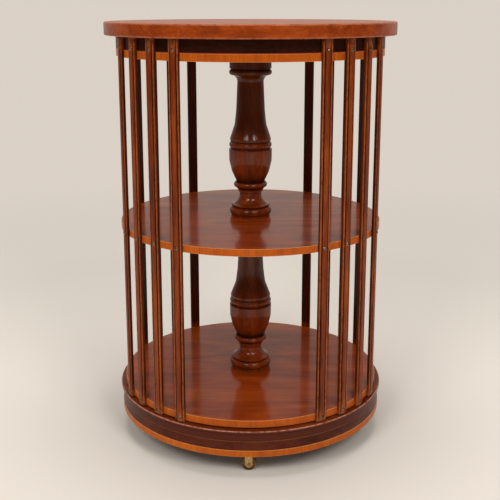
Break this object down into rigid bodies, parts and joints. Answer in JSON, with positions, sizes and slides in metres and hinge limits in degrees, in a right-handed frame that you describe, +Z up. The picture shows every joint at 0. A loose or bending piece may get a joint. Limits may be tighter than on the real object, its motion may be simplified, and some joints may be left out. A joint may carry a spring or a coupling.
{
  "type": "revolving bookcase",
  "caption": "Round revolving bookcase: two open tiers between boards and moulded slats round a turned column, on a banded plinth with casters.",
  "frame": {"origin": "on the floor under the spindle, at the centre of the plinth", "axes": "+Z up along the spindle; -Y is the front, through the middle of one open bay; +X to the right of a viewer at the front"},
  "size_m": [0.4989, 0.499, 0.729],
  "materials": {
    "mahogany": "French-polished mahogany, high gloss",
    "dark_mahogany": "dark stained mahogany, high gloss",
    "satinwood": "polished light crossbanding, gloss",
    "oak": "unpolished secondary wood",
    "steel": "turned steel, dull",
    "iron": "blackened cast iron",
    "brass": "aged brass, satin"
  },
  "bodies": {
    "base": {"plinth_board": "mahogany", "plinth_drum": "dark_mahogany", "plinth_crossband": "satinwood", "plinth_string": "satinwood", "base_rail_lower": "oak", "base_rail_upper": "oak", "spindle": "steel", "spindle_flange": "iron", "underside_screws": "steel", "thrust_washer": "brass", "spindle_nut": "steel", "caster_plate_front": "brass", "caster_plate_right": "brass", "caster_plate_back": "brass", "caster_plate_left": "brass"},
    "case": {"lower_board": "mahogany", "middle_board": "mahogany", "upper_board": "mahogany", "lower_edge_band": "satinwood", "middle_edge_band": "satinwood", "upper_edge_band": "satinwood", "top_board": "mahogany", "lower_column": "mahogany", "upper_column": "mahogany", "lower_bush": "brass", "top_bush": "brass", "top_screws": "steel", "slat_screws": "brass", "frieze_segment_1": "dark_mahogany", "frieze_segment_2": "dark_mahogany", "frieze_segment_3": "dark_mahogany", "frieze_segment_4": "dark_mahogany", "slat_01": "mahogany", "slat_02": "mahogany", "slat_03": "mahogany", "slat_04": "mahogany", "slat_05": "mahogany", "slat_06": "mahogany", "slat_07": "mahogany", "slat_08": "mahogany", "slat_09": "mahogany", "slat_10": "mahogany", "slat_11": "mahogany", "slat_12": "mahogany", "slat_13": "mahogany", "slat_14": "mahogany", "slat_15": "mahogany", "slat_16": "mahogany"},
    "caster_front": {"caster_fork_front": "brass", "caster_axle_front": "brass"},
    "wheel_front": {"caster_wheel_front": "brass"},
    "caster_right": {"caster_fork_right": "brass", "caster_axle_right": "brass"},
    "wheel_right": {"caster_wheel_right": "brass"},
    "caster_back": {"caster_fork_back": "brass", "caster_axle_back": "brass"},
    "wheel_back": {"caster_wheel_back": "brass"},
    "caster_left": {"caster_fork_left": "brass", "caster_axle_left": "brass"},
    "wheel_left": {"caster_wheel_left": "brass"}
  },
  "joints": [
    {"name": "case_revolve", "type": "hinge", "parent": "base", "child": "case", "pos_m": [0, 0, 0.0855], "axis": [0, 0, 1], "continuous": true},
    {"name": "caster_swivel_front", "type": "hinge", "parent": "base", "child": "caster_front", "pos_m": [0, -0.206, 0.0332], "axis": [0, 0, 1], "continuous": true},
    {"name": "caster_roll_front", "type": "hinge", "parent": "caster_front", "child": "wheel_front", "pos_m": [-0.003, -0.206, 0.0125], "axis": [0, -1, 0], "continuous": true},
    {"name": "caster_swivel_right", "type": "hinge", "parent": "base", "child": "caster_right", "pos_m": [0.206, 0, 0.0332], "axis": [0, 0, 1], "continuous": true},
    {"name": "caster_roll_right", "type": "hinge", "parent": "caster_right", "child": "wheel_right", "pos_m": [0.206, -0.003, 0.0125], "axis": [1, 0, 0], "continuous": true},
    {"name": "caster_swivel_back", "type": "hinge", "parent": "base", "child": "caster_back", "pos_m": [0, 0.206, 0.0332], "axis": [0, 0, 1], "continuous": true},
    {"name": "caster_roll_back", "type": "hinge", "parent": "caster_back", "child": "wheel_back", "pos_m": [0.003, 0.206, 0.0125], "axis": [0, 1, 0], "continuous": true},
    {"name": "caster_swivel_left", "type": "hinge", "parent": "base", "child": "caster_left", "pos_m": [-0.206, 0, 0.0332], "axis": [0, 0, 1], "continuous": true},
    {"name": "caster_roll_left", "type": "hinge", "parent": "caster_left", "child": "wheel_left", "pos_m": [-0.206, 0.003, 0.0125], "axis": [-1, 0, 0], "continuous": true}
  ]
}
